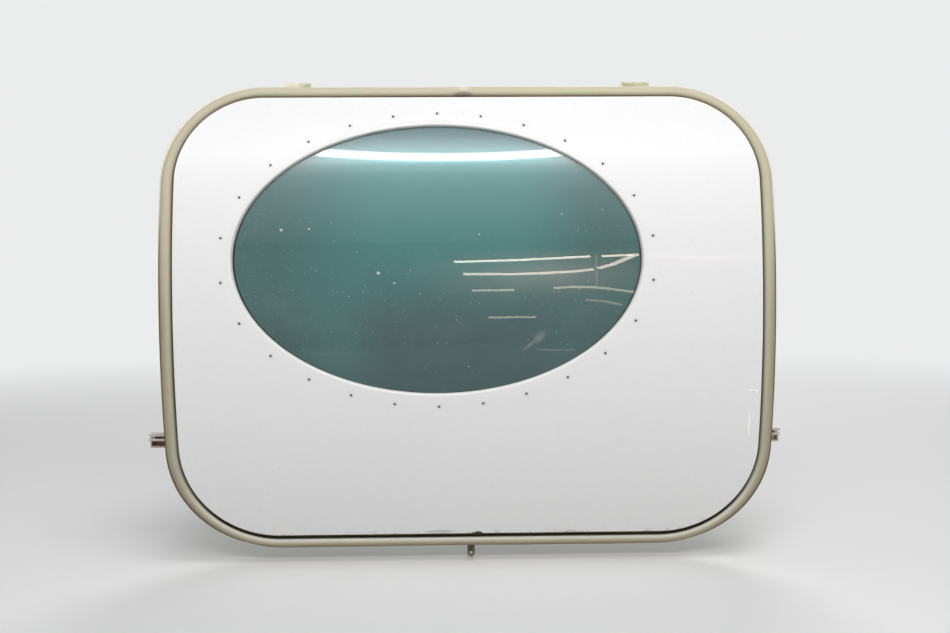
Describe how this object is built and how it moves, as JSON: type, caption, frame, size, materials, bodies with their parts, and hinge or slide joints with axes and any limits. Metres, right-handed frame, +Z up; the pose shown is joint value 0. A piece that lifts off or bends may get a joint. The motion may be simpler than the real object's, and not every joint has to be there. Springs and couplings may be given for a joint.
{
  "type": "removable cabin hatch with an oval window",
  "caption": "Curved white cabin hatch with a tinted oval window, tan bulb seal, top hooks, and side latch noses worked by an inside handle.",
  "frame": {"origin": "middle of the skin's outline, on the outer face's foremost line", "axes": "+X to the right seen from outside, -Y out of the cabin, +Z up"},
  "size_m": [0.7616, 0.1017, 0.58],
  "materials": {
    "white_paint": "gloss",
    "green_primer": "matte",
    "tan_rubber": "matte",
    "dark_rubber": "matte",
    "tinted_acrylic": "clear gloss",
    "bare_aluminium": "satin",
    "steel": "satin",
    "bronze": "satin",
    "pale_plastic": "matte",
    "red_plastic": "gloss"
  },
  "bodies": {
    "hatch": {"outer_skin": "white_paint", "skin_rivets": "white_paint", "window_rivets": "white_paint", "beam_rivets": "white_paint", "window_lip": "white_paint", "land_frame": "green_primer", "channel_frame": "green_primer", "window_frame": "green_primer", "pane_retainer": "green_primer", "upright": "green_primer", "upper_beam": "green_primer", "lower_beam": "green_primer", "hook_left": "green_primer", "hook_right": "green_primer", "bulb_seal": "tan_rubber", "outer_gasket": "dark_rubber", "inner_gasket": "dark_rubber", "pane_spacer": "dark_rubber", "outer_pane": "tinted_acrylic", "inner_pane": "tinted_acrylic", "channel_rivets": "bare_aluminium", "panel_rivets": "bare_aluminium", "hook_rivets": "bare_aluminium", "lug_rivets": "bare_aluminium", "keeper_rivets": "bare_aluminium", "latch_panel": "bare_aluminium", "left_keeper": "bare_aluminium", "right_keeper": "bare_aluminium", "retainer_screws": "steel", "anchor_nuts": "steel", "eye_lug": "steel", "shaft_bush": "bronze", "left_guide": "pale_plastic", "right_guide": "pale_plastic"},
    "handle": {"handle_shaft": "steel", "shaft_collar": "steel", "crank": "steel", "crank_pins": "steel", "handle_lever": "red_plastic", "end_washer": "steel", "end_screw": "steel"},
    "left_bolt": {"left_bar": "bare_aluminium", "left_nose": "bare_aluminium", "left_nose_pin": "steel", "left_nose_rivets": "steel"},
    "right_bolt": {"right_bar": "bare_aluminium", "right_nose": "bare_aluminium", "right_nose_pin": "steel", "right_nose_rivets": "steel"}
  },
  "joints": [
    {"name": "handle_turn", "type": "hinge", "parent": "hatch", "child": "handle", "pos_m": [0, 0.05028, -0.147], "axis": [0, 1, 0], "range_deg": [0, 56]},
    {"name": "left_bolt_slide", "type": "slide", "parent": "hatch", "child": "left_bolt", "axis": [1, 0, 0], "range_m": [0, 0.02822]},
    {"name": "right_bolt_slide", "type": "slide", "parent": "hatch", "child": "right_bolt", "axis": [-1, 0, 0], "range_m": [0, 0.02822]}
  ],
  "couplings": [
    {"joint": "left_bolt_slide", "follows": "handle_turn", "m_per_rad": 0.02882},
    {"joint": "right_bolt_slide", "follows": "handle_turn", "m_per_rad": 0.02882}
  ]
}
